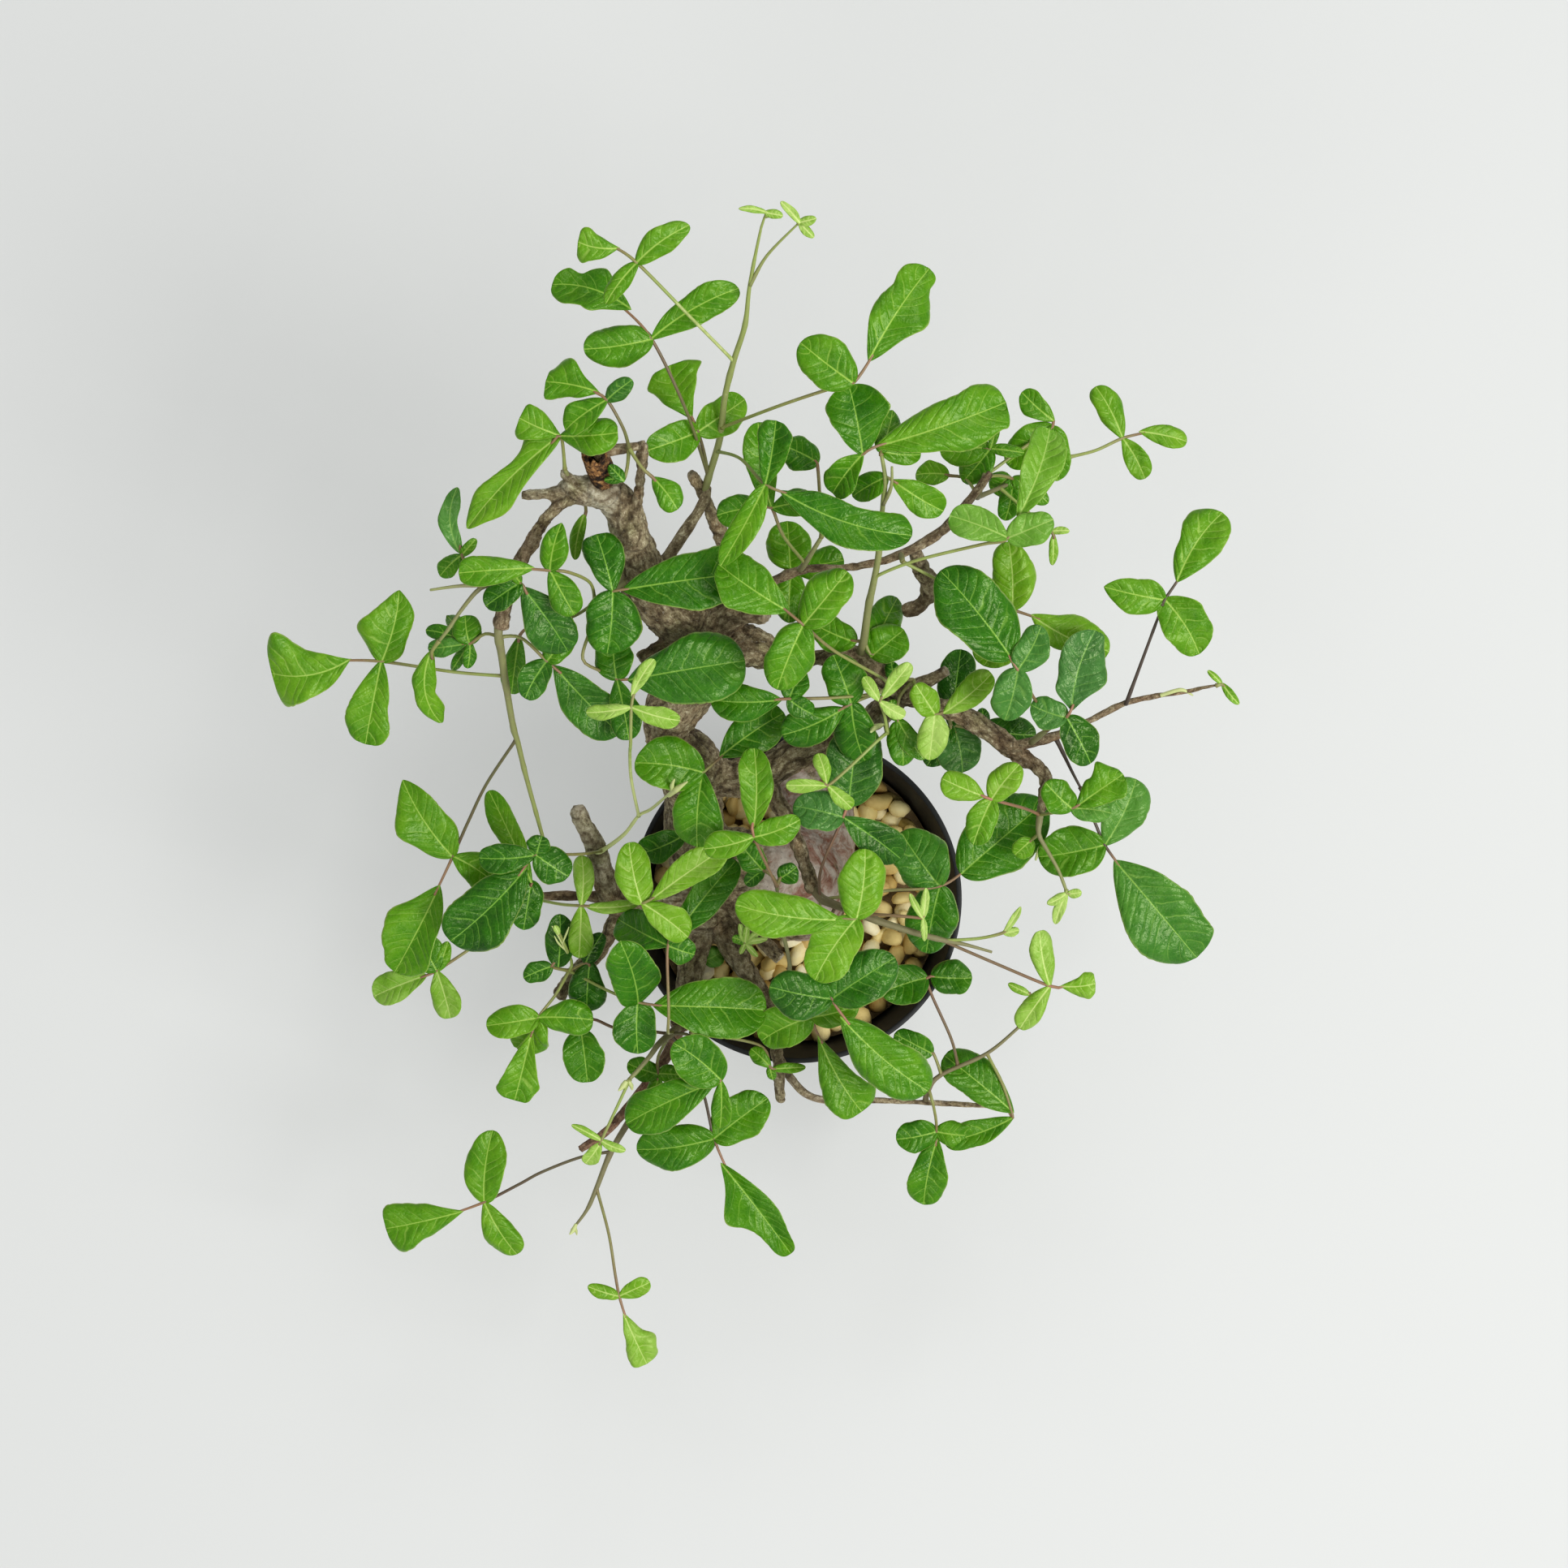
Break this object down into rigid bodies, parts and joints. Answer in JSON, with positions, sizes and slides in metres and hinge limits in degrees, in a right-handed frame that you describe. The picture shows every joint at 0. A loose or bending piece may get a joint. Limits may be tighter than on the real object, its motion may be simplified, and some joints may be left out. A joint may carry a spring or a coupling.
{
  "type": "potted caudex plant",
  "caption": "Small caudex plant with a swollen gnarled trunk and trifoliate leaves, standing in gravel in a round nursery pot.",
  "frame": {"origin": "centre of the pot's underside", "axes": "+Z up along the pot's axis; +X to the right and +Y up in a view from straight above"},
  "size_m": [0.2817, 0.3418, 0.2631],
  "materials": {
    "pot": "matt black moulded plastic",
    "gravel": "rounded tan and cream gravel, dry and matt",
    "bark": "grey-brown bark with reddish peeling patches",
    "leaf": "glossy green leaf blades with pale veins"
  },
  "bodies": {
    "root": {"pot": "pot", "gravel": "gravel", "trunk": "bark", "shoot_dropping": "leaf", "shoot_front": "leaf", "shoot_left": "leaf", "shoot_low": "leaf", "shoot_right": "leaf", "shoot_tall": "leaf", "shoot_up": "leaf", "spray_bright": "leaf", "spray_bud": "leaf", "spray_centre": "leaf", "spray_cross": "leaf", "spray_edge": "leaf", "spray_far_right": "leaf", "spray_far_up": "leaf", "spray_fork": "leaf", "spray_gnarl": "leaf", "spray_high": "leaf", "spray_inner": "leaf", "spray_knot": "leaf", "spray_low_left": "leaf", "spray_nub": "leaf", "spray_outer": "leaf", "spray_shade": "leaf", "spray_spur": "leaf", "spray_stub": "leaf", "spray_top_left": "leaf", "spray_trailing": "leaf", "spray_twig_end": "leaf", "spray_under": "leaf", "sprout": "leaf"}
  },
  "joints": []
}
